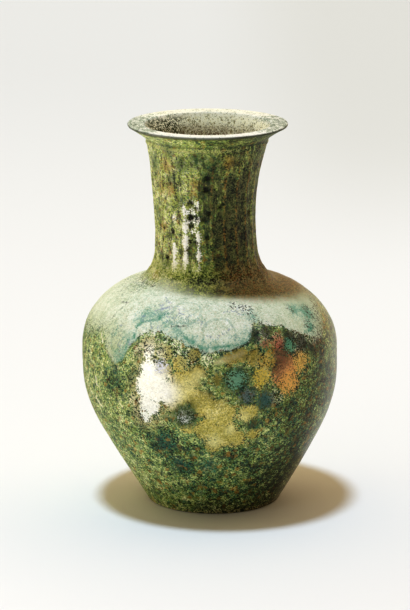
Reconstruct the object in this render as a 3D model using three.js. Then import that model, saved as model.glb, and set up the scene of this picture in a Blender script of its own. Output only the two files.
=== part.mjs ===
// A small ancient bronze vase, cast in one piece: a flat foot, a full belly with a round
// shoulder, a short neck with shallow upright flutes, and a flat lip that turns outwards.
// It is hollow and open at the mouth. Millimetres, +Z up, the front of the vase faces -Y,
// and the origin lies on the ground, under the middle of the belly.

import * as THREE from "three";
import { mergeVertices } from "three/addons/utils/BufferGeometryUtils.js";

// Heights, from the ground to the widest part of the belly, and on from each to the next:
// the shoulder, the end of the fillet at the neck's root, the neck's top and the lip
const bellyHeight = 74.5;
const shoulderRise = 30.3;
const neckRootRise = 14.4;
const neckLength = 53.4;
const lipRise = 7.4;

// Widths: the foot, the belly, the neck where it is narrowest at its root, how far the
// shoulder's ledge stands out from the root, and how far the neck widens up to its top
const footRadius = 31.8;
const bellyRadius = 60;
const neckRootRadius = 24.3;
const shoulderLedge = 9.9;
const neckFlare = 4.1;

// Foot: a flat standing ring round a slightly sunk middle
const footEdgeRound = 1.3;
const standingRingWidth = 8;
const recessDepth = 0.9;

// Lip: a flat flange with a rounded edge, which turns down into the throat
const lipOverhang = 8.8;
const lipWidth = 7.2;
const lipThickness = 1.2;
const lipDish = 0.3;
const mouthRound = 0.9;

// Metal, and the rounded corner between the inside wall and the floor
const wallThickness = 2.2;
const floorThickness = 3;
const insideCornerRise = 4;
const insideCornerReach = 8;

// Flutes, cut side by side round the neck, with a ridge just left of the front. They fade
// in just above the shoulder and fade out a little below the neck's top.
const fluteCount = 24;
const fluteDepth = 0.5;
const firstRidgeAngle = -8;
const fluteStartRise = 2.2;
const fluteEndDrop = 4.6;
const fluteFade = 7;

// A thin raised ring just below the neck's top
const ringDrop = 1;
const ringWidth = 1.6;
const ringRise = 0.45;

// The old casting leans a little: how far its middle lies to the right at the foot, part
// of the way up the neck, and at the lip
const footShift = 1.9;
const neckShift = -2.3;
const neckShiftRise = 28.8;
const lipShift = -0.9;

// Directions of the outline in degrees above the level, going up from the foot to the lip
const footSlope = 58.5;
const uprightSlope = 90;
const shoulderSlope = 172.4;
const neckRootSlope = 95.6;
const neckTopSlope = 77;
const lipUndersideSlope = 32;
const throatSlope = 62;

// Facets: four to a flute, and the steps along each stretch of the outline
const facetsPerFlute = 4;
const steps = {
  footEdge: 2, body: 6, shoulder: 6, root: 4, neck: 5, ring: 2,
  lipUnderside: 2, lipEdge: 3, mouthEdge: 2, throat: 2,
  insideNeck: 2, insideRoot: 2, insideBody: 4, insideCorner: 1,
};
const samplesAlongNeck = 120;
const halvings = 30;

// Heights and widths that follow from the ones above
const shoulderHeight = bellyHeight + shoulderRise;
const neckRootHeight = shoulderHeight + neckRootRise;
const neckTopHeight = neckRootHeight + neckLength;
const vaseHeight = neckTopHeight + lipRise;
const neckTopRadius = neckRootRadius + neckFlare;
const lipRadius = neckTopRadius + lipOverhang;
const mouthRadius = lipRadius - lipWidth;
const ringHeight = neckTopHeight - ringDrop;

const point = (radius, height) => new THREE.Vector2(radius, height);

const direction = (degrees) => {
  const angle = THREE.MathUtils.degToRad(degrees);
  return new THREE.Vector2(Math.cos(angle), Math.sin(angle));
};

// A smooth stretch of the outline. Each reach is a share of the distance between its ends.
function stretch(from, fromSlope, fromReach, to, toSlope, toReach) {
  const span = from.distanceTo(to);
  const leave = from.clone().addScaledVector(direction(fromSlope), fromReach * span);
  const arrive = to.clone().addScaledVector(direction(toSlope), -toReach * span);
  return new THREE.CubicBezierCurve(from, leave, arrive, to);
}

// Points of a round corner between two directions, given in degrees from its centre
function roundCorner(centre, radius, startDegrees, endDegrees, count) {
  return Array.from({ length: count + 1 }, (_, i) => {
    const degrees = THREE.MathUtils.lerp(startDegrees, endDegrees, i / count);
    return centre.clone().addScaledVector(direction(degrees), radius);
  });
}

// The point of the inside wall that backs a curve of the outside, a wall's thickness away
function insidePoint(curve, share) {
  const along = curve.getTangent(share);
  const inwards = new THREE.Vector2(-along.y, along.x);
  return curve.getPoint(share).addScaledVector(inwards, wallThickness);
}

// The inside wall behind a curve, from a share of its length up to its end
function insideOf(curve, count, start = 0) {
  return Array.from({ length: count + 1 }, (_, i) =>
    insidePoint(curve, THREE.MathUtils.lerp(start, 1, i / count)));
}

// How far along a rising curve, from 0 to 1, it reaches a height, found by halving
function shareAtHeight(height, pointAt) {
  let low = 0;
  let high = 1;
  for (let i = 0; i < halvings; i++) {
    const middle = (low + high) / 2;
    if (pointAt(middle).y < height) low = middle;
    else high = middle;
  }
  return low;
}

// The corners of the outline outside, and the curves between them, from the foot to the lip
const footTop = point(footRadius, footEdgeRound);
const belly = point(bellyRadius, bellyHeight);
const shoulder = point(neckRootRadius + shoulderLedge, shoulderHeight);
const neckRoot = point(neckRootRadius, neckRootHeight);
const neckTop = point(neckTopRadius, neckTopHeight);
const lipEdgeCentre = point(lipRadius - lipThickness / 2, vaseHeight - lipThickness / 2);
const lipUnderEdge = point(lipEdgeCentre.x, vaseHeight - lipThickness);

const body = stretch(footTop, footSlope, 0.7, belly, uprightSlope, 0.3);
const upperBody = stretch(belly, uprightSlope, 0.41, shoulder, shoulderSlope, 0.27);
const root = stretch(shoulder, shoulderSlope, 0.32, neckRoot, neckRootSlope, 0.31);
const neck = stretch(neckRoot, neckRootSlope, 0.27, neckTop, neckTopSlope, 0.38);
const lipUnderside = stretch(neckTop, neckTopSlope, 0.19, lipUnderEdge, lipUndersideSlope, 0.19);

// The neck's outline, with rows of its own for the raised ring
function outsideNeck() {
  const ringRows = Array.from({ length: steps.ring + 1 }, (_, i) =>
    ringHeight + ringWidth * (i / steps.ring - 0.5));
  return [
    ...neck.getPoints(steps.neck).filter((p) => p.y < ringRows[0] - ringWidth / 2),
    ...ringRows.map((height) => neck.getPoint(shareAtHeight(height, (t) => neck.getPoint(t)))),
    neckTop,
  ];
}

function outside() {
  const footEdgeCentre = point(footRadius - footEdgeRound, footEdgeRound);
  return [
    ...roundCorner(footEdgeCentre, footEdgeRound, -90, 0, steps.footEdge),
    ...body.getPoints(steps.body).slice(1),
    ...upperBody.getPoints(steps.shoulder).slice(1),
    ...root.getPoints(steps.root).slice(1),
    ...outsideNeck().slice(1),
    ...lipUnderside.getPoints(steps.lipUnderside).slice(1, -1),
    ...roundCorner(lipEdgeCentre, lipThickness / 2, -90, 90, steps.lipEdge),
  ];
}

// The outline inside, from the lip down into the vase and to the middle of its floor
function inside() {
  const mouthEdgeCentre = point(mouthRadius, vaseHeight - lipDish - mouthRound);
  const mouthEdge = roundCorner(mouthEdgeCentre, mouthRound, 90, 90 + throatSlope, steps.mouthEdge);
  const neckWall = insideOf(neck, steps.insideNeck);
  const throat = stretch(neckWall.at(-1), neckTopSlope, 0.3, mouthEdge.at(-1), throatSlope, 0.3);
  const cornerTop = floorThickness + insideCornerRise;
  const bodyStart = shareAtHeight(cornerTop, (t) => insidePoint(body, t));
  const wall = [
    ...throat.getPoints(steps.throat).reverse().slice(1),
    ...neckWall.reverse().slice(1),
    ...insideOf(root, steps.insideRoot).reverse().slice(1),
    ...insideOf(upperBody, steps.insideBody).reverse().slice(1),
    ...insideOf(body, steps.insideBody, bodyStart).reverse().slice(1),
  ];
  const floorEdge = point(wall.at(-1).x - insideCornerReach, floorThickness);
  const corner = stretch(wall.at(-1), 180 + footSlope, 0.4, floorEdge, 180, 0.4);
  return [
    ...mouthEdge,
    ...wall,
    ...corner.getPoints(steps.insideCorner).slice(1),
    point(0, floorThickness),
  ];
}

// The underside: the sunk middle and the flat ring that the vase stands on
function underside() {
  const ringInside = footRadius - footEdgeRound - standingRingWidth;
  return [
    point(0, recessDepth),
    point(ringInside - recessDepth, recessDepth),
    point(ringInside, 0),
  ];
}

const smooth = (t) => THREE.MathUtils.smoothstep(t, 0, 1);

// How deep the flutes are at this height, from 0 to 1
function fluteStrength(height) {
  const start = smooth((height - shoulderHeight - fluteStartRise) / fluteFade);
  const end = smooth((neckTopHeight - fluteEndDrop - height) / fluteFade);
  return start * end;
}

// A hollow between two ridges, as a share of the flute's depth
function fluteHollow(degrees) {
  const acrossFlute = ((degrees - firstRidgeAngle) * fluteCount) / 360;
  return Math.abs(Math.sin(Math.PI * acrossFlute));
}

function ringSwell(height) {
  const fromRing = Math.min(1, Math.abs(height - ringHeight) / (ringWidth / 2));
  return ringRise * (0.5 + 0.5 * Math.cos(Math.PI * fromRing));
}

// How far the vase's middle lies to the right at this height
function sidewaysShift(height) {
  const neckShiftHeight = neckRootHeight + neckShiftRise;
  if (height < bellyHeight) return footShift * (1 - smooth(height / bellyHeight));
  if (height < neckShiftHeight) {
    return neckShift * smooth((height - bellyHeight) / (neckShiftHeight - bellyHeight));
  }
  const toLip = smooth((height - neckShiftHeight) / (vaseHeight - neckShiftHeight));
  return THREE.MathUtils.lerp(neckShift, lipShift, toLip);
}

// The turned form, standing up, with its facets' corners on the ridges of the flutes
function turnedForm(outline) {
  const frontOfLathe = 180;
  const start = THREE.MathUtils.degToRad(firstRidgeAngle + frontOfLathe);
  const turned = new THREE.LatheGeometry(outline, fluteCount * facetsPerFlute, start);
  turned.rotateX(Math.PI / 2);
  turned.deleteAttribute("normal");
  turned.deleteAttribute("uv");
  return mergeVertices(turned, 1e-4);
}

// The radius of the outside at a height on the neck and its root, and endless elsewhere
const neckOutline = [...root.getPoints(samplesAlongNeck), ...neck.getPoints(samplesAlongNeck)];
function neckRadiusAt(height) {
  if (height < shoulderHeight || height > neckTopHeight) return Infinity;
  return neckOutline.find((p) => p.y >= height).x;
}

// Cuts the flutes, raises the ring and leans the form, vertex by vertex
function handWork(geometry) {
  const vertices = geometry.getAttribute("position");
  for (let i = 0; i < vertices.count; i++) {
    const x = vertices.getX(i);
    const y = vertices.getY(i);
    const height = vertices.getZ(i);
    const radius = Math.hypot(x, y);
    const onNeckOutside = radius > neckRadiusAt(height) - wallThickness / 4;
    const degrees = THREE.MathUtils.radToDeg(Math.atan2(x, -y));
    const change = onNeckOutside
      ? ringSwell(height) - fluteDepth * fluteStrength(height) * fluteHollow(degrees)
      : 0;
    const scale = radius > 0 ? (radius + change) / radius : 1;
    vertices.setXY(i, x * scale + sidewaysShift(height), y * scale);
  }
  return geometry;
}

const bronze = new THREE.MeshStandardMaterial({
  color: new THREE.Color(0.25, 0.29, 0.13),
  roughness: 0.55,
  metalness: 0.6,
});

const vase = new THREE.Mesh(handWork(turnedForm([...underside(), ...outside(), ...inside()])), bronze);
vase.name = "vase";

const bronzeVase = new THREE.Group();
bronzeVase.add(vase);

export default bronzeVase;
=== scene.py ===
# %% [markdown]
# # An ancient bronze vase
# This lesson dresses one small bronze vase that lay in the ground for a very long time. The
# frame is the vase as it was measured: its solid says how large it is and where it stands.
# Everything below is about its looks: dents and crust, colours, the camera and the light.
# Lengths are in millimetres, turned into Blender's metres where an object is made, and
# angles are in degrees.

# %% Load the frame
import math

import bpy
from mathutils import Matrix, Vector


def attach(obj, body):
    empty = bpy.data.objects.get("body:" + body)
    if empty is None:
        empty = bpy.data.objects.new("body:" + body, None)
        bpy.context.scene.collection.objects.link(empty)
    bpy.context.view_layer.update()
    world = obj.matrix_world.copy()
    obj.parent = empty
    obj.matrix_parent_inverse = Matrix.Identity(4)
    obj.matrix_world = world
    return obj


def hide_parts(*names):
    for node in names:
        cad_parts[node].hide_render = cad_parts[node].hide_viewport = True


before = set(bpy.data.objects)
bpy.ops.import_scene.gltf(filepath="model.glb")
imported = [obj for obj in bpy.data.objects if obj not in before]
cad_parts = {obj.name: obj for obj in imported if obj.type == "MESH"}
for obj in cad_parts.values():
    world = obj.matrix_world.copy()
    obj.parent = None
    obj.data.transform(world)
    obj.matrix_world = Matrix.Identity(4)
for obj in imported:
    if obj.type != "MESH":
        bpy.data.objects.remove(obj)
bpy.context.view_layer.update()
MM = 0.001

# %% [markdown]
# ## The camera
# The photograph was taken from a little above the vase with a long lens far away, so the lip
# shows as a narrow ellipse and the sides hardly converge. The focal length was worked out in
# pixels of the picture, and is turned into Blender's lens and sensor sizes.

# %% The camera
camera_place = Vector((-2.14, -1411, 441)) * MM
camera_target = Vector((-2.14, 0, 92.9)) * MM
picture_height_px = 610
focal_length_px = 3091


def new_object(name, data):
    made = bpy.data.objects.new(name, data)
    bpy.context.scene.collection.objects.link(made)
    return made


camera = new_object("camera", bpy.data.cameras.new("camera"))
camera.data.sensor_width = 36
camera.data.lens = focal_length_px / picture_height_px * camera.data.sensor_width
camera.location = camera_place
camera.rotation_euler = (camera_target - camera_place).to_track_quat("-Z", "Y").to_euler()
bpy.context.scene.camera = camera
bpy.context.scene.view_settings.view_transform = "Standard"
bpy.context.scene.view_settings.look = "High Contrast"
print("lens of", round(camera.data.lens, 1), "mm")

# %% [markdown]
# ## Values that flow through nodes
# Materials and Geometry Nodes are both trees of nodes, and writing out each Math node would
# hide what is worked out. So one small class stands for a socket: adding or multiplying two
# of them adds the Math node. Every other node comes from one method, which takes the node's
# type, its settings and what goes into its sockets.

# %% A socket that can be reckoned with
class Wire:
    """A value on its way through a node tree."""

    def __init__(self, bench, socket):
        self.bench = bench
        self.socket = socket

    def __add__(self, other):
        return self.bench.math("ADD", self, other)

    def __sub__(self, other):
        return self.bench.math("SUBTRACT", self, other)

    def __rsub__(self, other):
        return self.bench.math("SUBTRACT", other, self)

    def __mul__(self, other):
        return self.bench.math("MULTIPLY", self, other)

    def __truediv__(self, other):
        return self.bench.math("DIVIDE", self, other)

    def __rtruediv__(self, other):
        return self.bench.math("DIVIDE", other, self)

    def __neg__(self):
        return self.bench.math("MULTIPLY", self, -1)

    __radd__ = __add__
    __rmul__ = __mul__

    def output(self, name):
        """Another output of the same node."""
        return Wire(self.bench, self.socket.node.outputs[name])


# %% A tree that nodes are added to
class Bench:
    """Adds nodes to one tree. Sockets are filled by name or number, with values or wires."""

    def __init__(self, tree):
        self.tree = tree

    def node(self, kind, settings=None, inputs=None, out=0):
        made = self.tree.nodes.new(kind)
        for name, value in (settings or {}).items():
            if name == "stops":
                self.set_stops(made.color_ramp, value)
            elif name == "points":
                self.set_points(made.mapping, value)
            else:
                setattr(made, name, value)
        for key, value in (inputs or {}).items():
            if isinstance(value, Wire):
                self.tree.links.new(value.socket, made.inputs[key])
            else:
                made.inputs[key].default_value = value
        return Wire(self, made.outputs[out])

    @staticmethod
    def set_stops(ramp, stops):
        while len(ramp.elements) < len(stops):
            ramp.elements.new(1)
        for element, (place, colour) in zip(ramp.elements, stops):
            element.position = place
            element.color = colour

    @staticmethod
    def set_points(mapping, points):
        line = mapping.curves[0]
        while len(line.points) < len(points):
            line.points.new(1, 1)
        for corner, place in zip(line.points, points):
            corner.location = place
            corner.handle_type = "VECTOR"
        mapping.update()

    def math(self, operation, *values):
        return self.node("ShaderNodeMath", {"operation": operation}, dict(enumerate(values)))

    def vector(self, operation, *values, out=0):
        return self.node("ShaderNodeVectorMath", {"operation": operation}, dict(enumerate(values)), out)

    def scale(self, vector, factor):
        return self.node("ShaderNodeVectorMath", {"operation": "SCALE"}, {0: vector, "Scale": factor})

    def rise(self, value, low, high):
        """0 below low, 1 above high, and a soft step between them."""
        return self.node("ShaderNodeMapRange", {"interpolation_type": "SMOOTHSTEP"},
                         {"Value": value, "From Min": low, "From Max": high})

    def fall(self, value, low, high):
        """1 below low, 0 above high, and a soft step between them."""
        return 1 - self.rise(value, low, high)

    def mix(self, share, first, second):
        """The first colour where share is 0, the second where it is 1."""
        return self.node("ShaderNodeMix", {"data_type": "RGBA"}, {0: share, 6: first, 7: second}, 2)

    def noise(self, place, size, detail=2.0, roughness=0.5, seed=0.0):
        """Cloudy noise from 0 to 1, with clouds of about that size in millimetres."""
        moved = self.vector("ADD", place, (seed, seed * 0.7, seed * 1.3))
        return self.node("ShaderNodeTexNoise", None, {
            "Vector": moved, "Scale": 1 / size, "Detail": detail, "Roughness": roughness})

    def grains(self, place, size, seed=0.0):
        """Cells of about that size. Its Color output is another random colour in each."""
        moved = self.vector("ADD", place, (seed, seed * 0.7, seed * 1.3))
        return self.node("ShaderNodeTexVoronoi", None, {"Vector": moved, "Scale": 1 / size})


print("two small classes stand ready")

# %% [markdown]
# ## The form of the vase
# The vase was cast and finished by turning, so one outline says nearly everything. It is
# made of a few corners and smooth stretches between them, with the sizes of the frame's
# solid. The inside is the outside, taken inwards by the thickness of the metal. Python works
# out the outline, and Geometry Nodes turn it.

# %% The sizes of the vase
BELLY_HEIGHT = 74.5
SHOULDER_HEIGHT = BELLY_HEIGHT + 30.3
NECK_ROOT_HEIGHT = SHOULDER_HEIGHT + 14.4
NECK_TOP_HEIGHT = NECK_ROOT_HEIGHT + 53.4
VASE_HEIGHT = NECK_TOP_HEIGHT + 7.4
FOOT_RADIUS = 31.8
BELLY_RADIUS = 60
NECK_ROOT_RADIUS = 24.3
SHOULDER_RADIUS = NECK_ROOT_RADIUS + 9.9
NECK_TOP_RADIUS = NECK_ROOT_RADIUS + 4.1
LIP_RADIUS = NECK_TOP_RADIUS + 8.8
MOUTH_RADIUS = LIP_RADIUS - 7.2
FOOT_EDGE_ROUND = 1.3
STANDING_RING_WIDTH = 8
RECESS_DEPTH = 0.9
LIP_THICKNESS = 1.2
LIP_DISH = 0.3
MOUTH_ROUND = 0.9
WALL = 2.2
FLOOR_THICKNESS = 3
CORNER_RISE = 4
CORNER_REACH = 8
FOOT_SLOPE = 58.5
UPRIGHT = 90
SHOULDER_SLOPE = 172.4
NECK_ROOT_SLOPE = 95.6
NECK_TOP_SLOPE = 77
LIP_UNDERSIDE_SLOPE = 32
THROAT_SLOPE = 62
print("the vase is", VASE_HEIGHT, "mm high and", 2 * BELLY_RADIUS, "mm wide")


# %% Smooth stretches and round corners
def heading(degrees):
    return Vector((math.cos(math.radians(degrees)), math.sin(math.radians(degrees))))


class Stretch:
    """A smooth stretch of the outline. Each reach is a share of the distance between its ends."""

    def __init__(self, start, start_slope, start_reach, end, end_slope, end_reach):
        span = (end - start).length
        leave = start + heading(start_slope) * start_reach * span
        arrive = end - heading(end_slope) * end_reach * span
        self.corners = (start, leave, arrive, end)

    def at(self, t):
        a, b, c, d = self.corners
        s = 1 - t
        return a * s ** 3 + b * 3 * s * s * t + c * 3 * s * t * t + d * t ** 3

    def inside_at(self, t):
        """The point of the inside wall behind this one."""
        a, b, c, d = self.corners
        s = 1 - t
        along = ((b - a) * s * s + (c - b) * 2 * s * t + (d - c) * t * t).normalized()
        return self.at(t) + Vector((-along.y, along.x)) * WALL


def rows(point_at, count, start=0.0):
    return [point_at(start + (1 - start) * i / count) for i in range(count + 1)]


def round_corner(centre, radius, start, end, count):
    return rows(lambda t: centre + heading(start + (end - start) * t) * radius, count)


# %% The stretches of this vase
foot_top = Vector((FOOT_RADIUS, FOOT_EDGE_ROUND))
belly = Vector((BELLY_RADIUS, BELLY_HEIGHT))
shoulder = Vector((SHOULDER_RADIUS, SHOULDER_HEIGHT))
neck_root = Vector((NECK_ROOT_RADIUS, NECK_ROOT_HEIGHT))
neck_top = Vector((NECK_TOP_RADIUS, NECK_TOP_HEIGHT))
lip_edge_centre = Vector((LIP_RADIUS - LIP_THICKNESS / 2, VASE_HEIGHT - LIP_THICKNESS / 2))
lip_under_edge = lip_edge_centre - Vector((0, LIP_THICKNESS / 2))

body = Stretch(foot_top, FOOT_SLOPE, 0.7, belly, UPRIGHT, 0.3)
upper_body = Stretch(belly, UPRIGHT, 0.41, shoulder, SHOULDER_SLOPE, 0.27)
root = Stretch(shoulder, SHOULDER_SLOPE, 0.32, neck_root, NECK_ROOT_SLOPE, 0.31)
neck = Stretch(neck_root, NECK_ROOT_SLOPE, 0.27, neck_top, NECK_TOP_SLOPE, 0.38)
lip_underside = Stretch(neck_top, NECK_TOP_SLOPE, 0.19, lip_under_edge, LIP_UNDERSIDE_SLOPE, 0.19)

STEPS = 60
outer_points = [stretch.at(i / STEPS) for stretch in (body, upper_body, root, neck, lip_underside)
                for i in range(STEPS + 1)]


def radius_at(height):
    """The radius of the outside at a height."""
    return next((p.x for p in outer_points if p.y >= height), LIP_RADIUS)


quarters = [round(radius_at(VASE_HEIGHT * share), 1) for share in (0.25, 0.5, 0.75)]
print("radius at a quarter, half and three quarters:", quarters)

# %% The outline, from the middle of the underside over the lip to the middle of the floor
ring_inside = FOOT_RADIUS - FOOT_EDGE_ROUND - STANDING_RING_WIDTH
foot_edge_centre = Vector((FOOT_RADIUS - FOOT_EDGE_ROUND, FOOT_EDGE_ROUND))
mouth_edge_centre = Vector((MOUTH_RADIUS, VASE_HEIGHT - LIP_DISH - MOUTH_ROUND))

underside = [Vector((0, RECESS_DEPTH)), Vector((ring_inside / 2, RECESS_DEPTH)),
             Vector((ring_inside - RECESS_DEPTH, RECESS_DEPTH)), Vector((ring_inside, 0)),
             Vector((ring_inside + STANDING_RING_WIDTH / 2, 0))]
outside = (
    round_corner(foot_edge_centre, FOOT_EDGE_ROUND, -90, 0, 4)
    + rows(body.at, 72)[1:]
    + rows(upper_body.at, 42)[1:]
    + rows(root.at, 16)[1:]
    + rows(neck.at, 50)[1:]
    + rows(lip_underside.at, 8)[1:-1]
    + round_corner(lip_edge_centre, LIP_THICKNESS / 2, -90, 90, 5)
)
mouth_edge = round_corner(mouth_edge_centre, MOUTH_ROUND, 90, 90 + THROAT_SLOPE, 4)
lip_top = rows(lambda t: outside[-1].lerp(mouth_edge[0], t), 5)[1:-1]
throat = Stretch(neck.inside_at(1), NECK_TOP_SLOPE, 0.3, mouth_edge[-1], THROAT_SLOPE, 0.3)
corner_top = FLOOR_THICKNESS + CORNER_RISE
body_start = next(i / 200 for i in range(200) if body.inside_at(i / 200).y >= corner_top)
wall_down = (
    rows(throat.at, 10)[-2::-1]
    + rows(neck.inside_at, 10)[-2::-1]
    + rows(root.inside_at, 4)[-2::-1]
    + rows(upper_body.inside_at, 7)[-2::-1]
    + rows(body.inside_at, 8, body_start)[-2::-1]
)
floor_edge = Vector((wall_down[-1].x - CORNER_REACH, FLOOR_THICKNESS))
corner = Stretch(wall_down[-1], 180 + FOOT_SLOPE, 0.4, floor_edge, 180, 0.4)
floor_rows = rows(corner.at, 3)[1:] + [floor_edge * 0.5 + Vector((0, FLOOR_THICKNESS / 2)),
                                       Vector((0, FLOOR_THICKNESS))]
outline = underside + outside + lip_top + mouth_edge + wall_down + floor_rows
mouth_row = len(underside) + len(outside) + len(lip_top)
print(len(outline), "points in the outline, of which the mouth's edge is number", mouth_row)

# %% The outline as a mesh of edges
# past_mouth says how far a point lies below the mouth along the inside, in millimetres.
outline_mesh = bpy.data.meshes.new("outline")
outline_mesh.from_pydata([(p.x * MM, 0, p.y * MM) for p in outline],
                         [(i, i + 1) for i in range(len(outline) - 1)], [])
past_mouth = outline_mesh.attributes.new("past_mouth", "FLOAT", "POINT")
run = 0.0
for i, p in enumerate(outline):
    if i > mouth_row:
        run += (p - outline[i - 1]).length
    past_mouth.data[i].value = run
print("the inside runs for", round(run), "mm")

# %% [markdown]
# ## Turning, fluting and the old lean
# Geometry Nodes turn the outline: a flat grid has one column for each step round the vase
# and one row for each point of the outline, and every point of it is moved to its place.
# The same tree then adds the flutes round the neck and the thin raised ring above them. The
# vase has sagged a little in its long life, so its middle wanders sideways as it rises.

# %% The flutes, the ring and the lean
SEGMENTS = 360
FLUTES = 24
FLUTE_DEPTH = 0.5
FIRST_RIDGE = -8
FLUTE_START = SHOULDER_HEIGHT + 2.2
FLUTE_END = NECK_TOP_HEIGHT - 4.6
FLUTE_FADE = 7
RING_HEIGHT = NECK_TOP_HEIGHT - 1
RING_WIDTH = 1.6
RING_RISE = 0.45
FOOT_SHIFT = 1.9
NECK_SHIFT = -2.3
NECK_SHIFT_HEIGHT = NECK_ROOT_HEIGHT + 28.8
LIP_SHIFT = -0.9


def soft_step(t):
    t = min(max(t, 0), 1)
    return t * t * (3 - 2 * t)


def sideways(height):
    """How far the vase's middle lies to the right at this height."""
    return (FOOT_SHIFT * (1 - soft_step(height / BELLY_HEIGHT))
            + NECK_SHIFT * soft_step((height - BELLY_HEIGHT) / (NECK_SHIFT_HEIGHT - BELLY_HEIGHT))
            + (LIP_SHIFT - NECK_SHIFT)
            * soft_step((height - NECK_SHIFT_HEIGHT) / (VASE_HEIGHT - NECK_SHIFT_HEIGHT)))


def sideways_wire(bench, height):
    """The same, for a height that flows through nodes."""
    return (FOOT_SHIFT * bench.fall(height, 0, BELLY_HEIGHT)
            + NECK_SHIFT * bench.rise(height, BELLY_HEIGHT, NECK_SHIFT_HEIGHT)
            + (LIP_SHIFT - NECK_SHIFT) * bench.rise(height, NECK_SHIFT_HEIGHT, VASE_HEIGHT))


def flute_hollow(bench, degrees):
    """0 on a ridge between two flutes, 1 in the middle of a flute."""
    return bench.math("ABSOLUTE", bench.math("SINE", (degrees - FIRST_RIDGE) * (math.pi * FLUTES / 360)))


def flute_strength(bench, height):
    """1 on the neck, fading out towards the shoulder and the ring."""
    return (bench.rise(height, FLUTE_START, FLUTE_START + FLUTE_FADE)
            * bench.fall(height, FLUTE_END - FLUTE_FADE, FLUTE_END))


print("the neck leans to", round(sideways(NECK_SHIFT_HEIGHT), 2), "mm and the foot to", sideways(0), "mm")


# %% A new Geometry Nodes tree
def new_tree(name, sizes):
    """A tree with a geometry going in and out, and one named input for each size."""
    tree = bpy.data.node_groups.new(name, "GeometryNodeTree")
    tree.interface.new_socket("Geometry", in_out="OUTPUT", socket_type="NodeSocketGeometry")
    tree.interface.new_socket("Geometry", in_out="INPUT", socket_type="NodeSocketGeometry")
    for label, value in sizes.items():
        kind = "NodeSocketInt" if isinstance(value, int) else "NodeSocketFloat"
        socket = tree.interface.new_socket(label, in_out="INPUT", socket_type=kind)
        socket.default_value = value
    tree.interface.new_socket("Material", in_out="INPUT", socket_type="NodeSocketMaterial")
    bench = Bench(tree)
    given = bench.node("NodeGroupInput")
    return bench, {item.name: Wire(bench, item) for item in given.socket.node.outputs if item.name}


def end_tree(bench, shape, material):
    """The last nodes of a tree: instances made real, and the material set."""
    real = bench.node("GeometryNodeRealizeInstances", None, {0: shape})
    painted = bench.node("GeometryNodeSetMaterial", None, {"Geometry": real, "Material": material})
    last = bench.tree.nodes.new("NodeGroupOutput")
    bench.tree.links.new(painted.socket, last.inputs[0])


def shape_by_tree(piece, tree, inputs):
    """Runs a tree on an object and keeps the result as its plain mesh."""
    step = piece.modifiers.new(tree.name, "NODES")
    step.node_group = tree
    for item in tree.interface.items_tree:
        if item.in_out == "INPUT" and item.name in inputs:
            step[item.identifier] = inputs[item.name]
    made = bpy.data.meshes.new_from_object(piece.evaluated_get(bpy.context.evaluated_depsgraph_get()))
    piece.modifiers.remove(step)
    piece.data = made


# %% The tree that turns the outline
turned, given = new_tree("turned vase", {
    "Segments": SEGMENTS, "Flute Depth": FLUTE_DEPTH, "Ring Width": RING_WIDTH, "Ring Rise": RING_RISE,
})
outline_rows = turned.node("GeometryNodeAttributeDomainSize", None, {0: given["Geometry"]})
sheet = turned.node("GeometryNodeMeshGrid", None, {
    "Vertices X": given["Segments"] + 1, "Vertices Y": outline_rows})
index = turned.node("GeometryNodeInputIndex")
row = turned.math("MODULO", index, outline_rows)
column = turned.math("FLOOR", (index + 0.5) / outline_rows)


def from_outline(kind, value):
    """A value of the outline's point in this row."""
    return turned.node("GeometryNodeSampleIndex", {"data_type": kind, "domain": "POINT"},
                       {"Geometry": given["Geometry"], "Value": value, "Index": row})


corner_place = turned.scale(from_outline("FLOAT_VECTOR", turned.node("GeometryNodeInputPosition")), 1 / MM)
profile = turned.node("ShaderNodeSeparateXYZ", None, {0: corner_place})
height = profile.output("Z")
depth_inside = turned.node("GeometryNodeInputNamedAttribute", {"data_type": "FLOAT"}, {"Name": "past_mouth"})
depth_inside = from_outline("FLOAT", depth_inside)
print("the grid has", len(outline), "rows and", SEGMENTS, "columns")

# %% Each point of the grid goes to its place
degrees = column * (360 / SEGMENTS) + (FIRST_RIDGE - 180)
from_ring = turned.math("ABSOLUTE", height - RING_HEIGHT) / (given["Ring Width"] / 2)
ring = given["Ring Rise"] * turned.fall(from_ring, 0, 1)
flutes = given["Flute Depth"] * flute_strength(turned, height) * flute_hollow(turned, degrees)
on_outside = turned.fall(depth_inside, 0, 0.5)
radius = profile.output("X") + on_outside * (ring - flutes)
turn = degrees * (math.pi / 180)
grid_place = turned.node("ShaderNodeCombineXYZ", None, {
    "X": (radius * turned.math("SINE", turn) + sideways_wire(turned, height)) * MM,
    "Y": radius * turned.math("COSINE", turn) * -MM,
    "Z": height * MM})
shape = turned.node("GeometryNodeStoreNamedAttribute", {"data_type": "FLOAT", "domain": "POINT"}, {
    "Geometry": sheet, "Name": "past_mouth", "Value": depth_inside})
shape = turned.node("GeometryNodeSetPosition", None, {"Geometry": shape, "Position": grid_place})
shape = turned.node("GeometryNodeMergeByDistance", None, {"Geometry": shape, "Distance": 1e-6})
shape = turned.node("GeometryNodeSetShadeSmooth", None, {"Geometry": shape})
end_tree(turned, shape, given["Material"])

vase = new_object("bronze_vase", outline_mesh)
shape_by_tree(vase, turned.tree, {})
print("turned:", len(vase.data.vertices), "points and", len(vase.data.polygons), "faces")

# %% [markdown]
# ## What the ground did to it
# Bronze that lies in the ground grows a green patina, and where water stood it grows a pale
# mineral crust. Later cleaning bared the metal in places, and iron nearby left rust. Each of
# these is a patch, written as a few round spots with an angle from the front, a height and a
# radius, and clouds of noise fray their edges. The crust and the pits serve twice: Geometry
# Nodes raise and sink the surface with them, and the material paints them, so colour and
# relief agree.

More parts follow.
